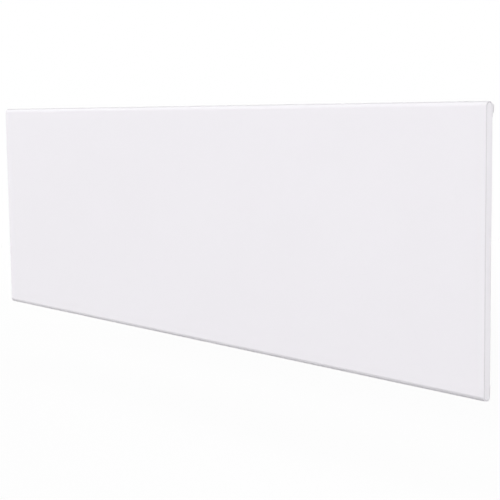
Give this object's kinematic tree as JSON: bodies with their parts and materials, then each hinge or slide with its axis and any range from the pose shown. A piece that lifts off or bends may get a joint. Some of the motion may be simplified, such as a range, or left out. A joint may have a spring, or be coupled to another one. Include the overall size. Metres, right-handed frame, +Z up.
{
  "type": "convector panel heater",
  "caption": "Wall-hung electric convector: flat front panel, slotted sloping outlet, lidded control box, rocker switch.",
  "frame": {"origin": "on the wall, at the centre of the wall bracket's four screw holes", "axes": "+X along the heater towards the control box, +Y into the wall, +Z up"},
  "size_m": [1.16, 0.079, 0.37],
  "materials": {
    "panel_paint": "satin white powder coat",
    "casing_paint": "satin white powder coat",
    "grille_paint": "satin white powder coat",
    "cap_plastic": "fine grained moulded plastic",
    "housing_plastic": "fine grained moulded plastic",
    "lid_plastic": "fine grained moulded plastic",
    "button_plastic": "smooth moulded plastic with dark printed signs",
    "window_tint": "smoke tinted clear plastic",
    "light_guide": "milky clear plastic",
    "rocker_plastic": "warm white smooth plastic",
    "switch_plastic": "fine grained plastic",
    "pin_steel": "bright drawn steel",
    "screw_steel": "zinc plated steel",
    "rivet_metal": "bright",
    "bracket_paint": "white powder coat",
    "bumper_rubber": "matt",
    "gland_plastic": "moulded plastic",
    "grommet_rubber": "matt",
    "board_laminate": "solder masked laminate",
    "black_plastic": "moulded plastic",
    "digit_block": "dark moulded plastic",
    "switch_metal": "stamped steel",
    "chip_plastic": "clear white plastic",
    "relay_plastic": "moulded plastic",
    "transformer_core": "laminated steel",
    "terminal_plastic": "moulded plastic",
    "ribbon_grey": "flat cable insulation",
    "lead_insulation": "silicone insulation",
    "blade_brass": "tinned brass",
    "element_alloy": "as extruded",
    "element_sheath": "heat tinted steel",
    "ceramic": "unglazed ceramic",
    "galvanised": "galvanised sheet"
  },
  "bodies": {
    "heater": {"front_panel": "panel_paint", "end_cap_right": "cap_plastic", "end_cap_left": "cap_plastic", "rear_casing": "casing_paint", "outlet_grille": "grille_paint", "inlet_grille": "grille_paint", "control_housing": "housing_plastic", "lid_hinge_pins": "pin_steel", "display_window": "window_tint", "display_module": "digit_block", "indicator_light_pipes": "light_guide", "indicator_chips": "chip_plastic", "control_board": "board_laminate", "tact_switches": "switch_metal", "board_screws": "screw_steel", "power_board": "board_laminate", "relay": "relay_plastic", "transformer": "transformer_core", "ribbon_cable": "ribbon_grey", "switch_body": "switch_plastic", "switch_terminals": "blade_brass", "switch_leads": "lead_insulation", "terminal_block": "terminal_plastic", "cord_gland": "gland_plastic", "element_fins": "element_alloy", "element_tube": "element_sheath", "element_insulators": "ceramic", "element_brackets": "galvanised", "element_leads": "lead_insulation", "wall_grommet": "grommet_rubber", "front_heat_shield": "galvanised", "thermal_cutout": "black_plastic", "temperature_sensor": "black_plastic", "panel_rivets": "rivet_metal", "housing_screws": "screw_steel", "bracket_upright_left": "bracket_paint", "bracket_upright_right": "bracket_paint", "bracket_rail_upper": "bracket_paint", "bracket_rail_lower": "bracket_paint", "lock_tab": "bracket_paint", "lock_screw": "screw_steel", "rear_bumpers": "bumper_rubber"},
    "lid": {"control_lid": "lid_plastic"},
    "rocker": {"switch_rocker": "rocker_plastic"},
    "button_set": {"button_set": "button_plastic"},
    "button_minus": {"button_minus": "button_plastic"},
    "button_plus": {"button_plus": "button_plastic"},
    "button_program": {"button_program": "button_plastic"},
    "button_timer": {"button_timer": "button_plastic"},
    "button_power": {"button_power": "button_plastic"}
  },
  "joints": [
    {"name": "lid_hinge", "type": "hinge", "parent": "heater", "child": "lid", "pos_m": [0.5, -0.0255, 0.1725], "axis": [-1, 0, 0], "range_deg": [0, 92]},
    {"name": "rocker_tilt", "type": "hinge", "parent": "heater", "child": "rocker", "pos_m": [0.54865, -0.04515, 0.1248], "axis": [0, 1, 0], "range_deg": [0, 24]},
    {"name": "button_set_press", "type": "slide", "parent": "heater", "child": "button_set", "axis": [0, 0, -1], "range_m": [0, 0.0008], "stiffness_N_per_m": 300, "springref_m": -0.0005},
    {"name": "button_minus_press", "type": "slide", "parent": "heater", "child": "button_minus", "axis": [0, 0, -1], "range_m": [0, 0.0008], "stiffness_N_per_m": 300, "springref_m": -0.0005},
    {"name": "button_plus_press", "type": "slide", "parent": "heater", "child": "button_plus", "axis": [0, 0, -1], "range_m": [0, 0.0008], "stiffness_N_per_m": 300, "springref_m": -0.0005},
    {"name": "button_program_press", "type": "slide", "parent": "heater", "child": "button_program", "axis": [0, 0, -1], "range_m": [0, 0.0008], "stiffness_N_per_m": 300, "springref_m": -0.0005},
    {"name": "button_timer_press", "type": "slide", "parent": "heater", "child": "button_timer", "axis": [0, 0, -1], "range_m": [0, 0.0008], "stiffness_N_per_m": 300, "springref_m": -0.0005},
    {"name": "button_power_press", "type": "slide", "parent": "heater", "child": "button_power", "axis": [0, 0, -1], "range_m": [0, 0.0008], "stiffness_N_per_m": 300, "springref_m": -0.0005}
  ]
}
